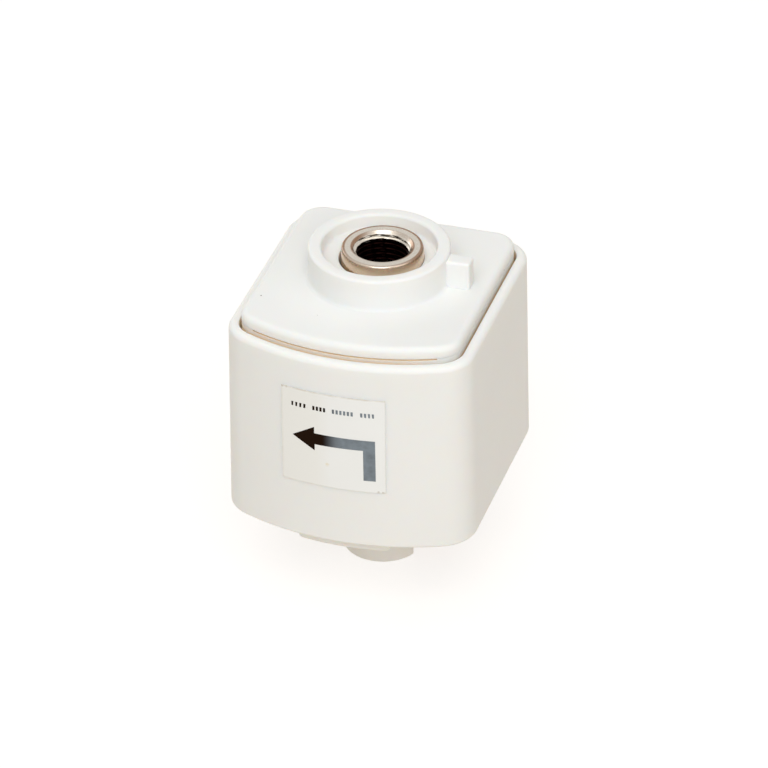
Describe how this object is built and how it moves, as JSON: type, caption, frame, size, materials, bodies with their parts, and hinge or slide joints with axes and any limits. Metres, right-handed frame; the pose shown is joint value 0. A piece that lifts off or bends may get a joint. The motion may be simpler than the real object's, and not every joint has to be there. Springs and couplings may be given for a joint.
{
  "type": "track light adapter",
  "caption": "Square sprung-sleeve adapter that locks a spotlight into a ceiling track, with a contact post at one end and a swivelling threaded bush in a collar at the other.",
  "frame": {"origin": "centre of the contact post's end face, on the track side", "axes": "+Z along the collar's axis towards the lamp end, -Y towards the bowed front with the label"},
  "size_m": [0.0434, 0.0474, 0.0603],
  "materials": {
    "white_plastic": "satin moulded",
    "post_plastic": "satin moulded",
    "label_film": "glossy film",
    "nickel_plate": "bright nickel plate",
    "zinc_steel": "zinc plated",
    "brass": "bright brass",
    "spring_steel": "drawn steel",
    "nylon": "natural nylon"
  },
  "bodies": {
    "body": {"inner_body": "white_plastic", "lamp_end_cover": "white_plastic", "wave_washer": "spring_steel", "thrust_washer": "nylon", "clamp_plate": "zinc_steel", "clamp_screws": "zinc_steel", "contact_post": "post_plastic", "post_screws": "zinc_steel", "live_contact": "brass", "neutral_contact": "brass", "earth_contact": "brass", "live_terminal": "brass", "neutral_terminal": "brass", "earth_terminal": "brass", "terminal_screws": "zinc_steel", "earth_strap": "brass", "return_spring": "spring_steel"},
    "sleeve": {"outer_sleeve": "white_plastic", "label": "label_film"},
    "swivel": {"swivel_bush": "nickel_plate"}
  },
  "joints": [
    {"name": "sleeve_slide", "type": "slide", "parent": "body", "child": "sleeve", "axis": [0, 0, 1], "range_m": [0, 0.005], "stiffness_N_per_m": 800, "springref_m": -0.005, "deforming": ["return_spring"]},
    {"name": "bush_swivel", "type": "hinge", "parent": "body", "child": "swivel", "pos_m": [0.00055, 0, 0.053], "axis": [0, 0, 1], "continuous": true}
  ]
}
